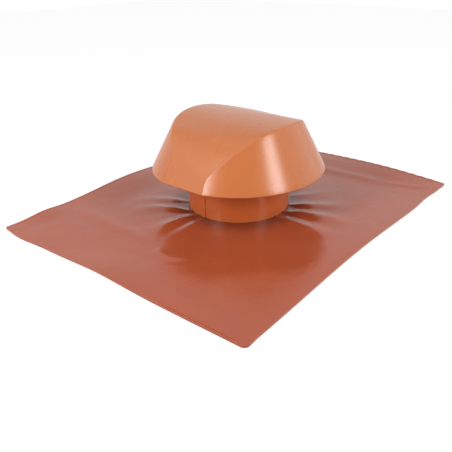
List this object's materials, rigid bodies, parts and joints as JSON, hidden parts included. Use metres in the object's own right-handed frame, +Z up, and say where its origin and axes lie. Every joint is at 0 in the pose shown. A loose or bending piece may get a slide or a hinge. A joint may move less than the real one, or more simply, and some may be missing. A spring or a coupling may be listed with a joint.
{
  "type": "roof vent cap",
  "caption": "Roof vent cap: an orange moulded hood, a cone cut by a barrel vault, stands over a round duct collar set in a flexible red-brown flashing sheet with radial gathers.",
  "frame": {"origin": "on the duct axis, at the level of the roof surface the sheet lies on", "axes": "+Z up along the duct axis, +Y along the sheet's long side, +X along its short side"},
  "size_m": [0.411, 0.504, 0.1285],
  "materials": {
    "hood_plastic": "moulded terracotta orange plastic, satin gloss",
    "collar_plastic": "moulded terracotta orange plastic, satin gloss",
    "flashing_membrane": "soft red-brown membrane, glossy, finely embossed"
  },
  "bodies": {
    "root": {"hood": "hood_plastic", "collar": "collar_plastic", "flashing_sheet": "flashing_membrane"}
  },
  "joints": []
}
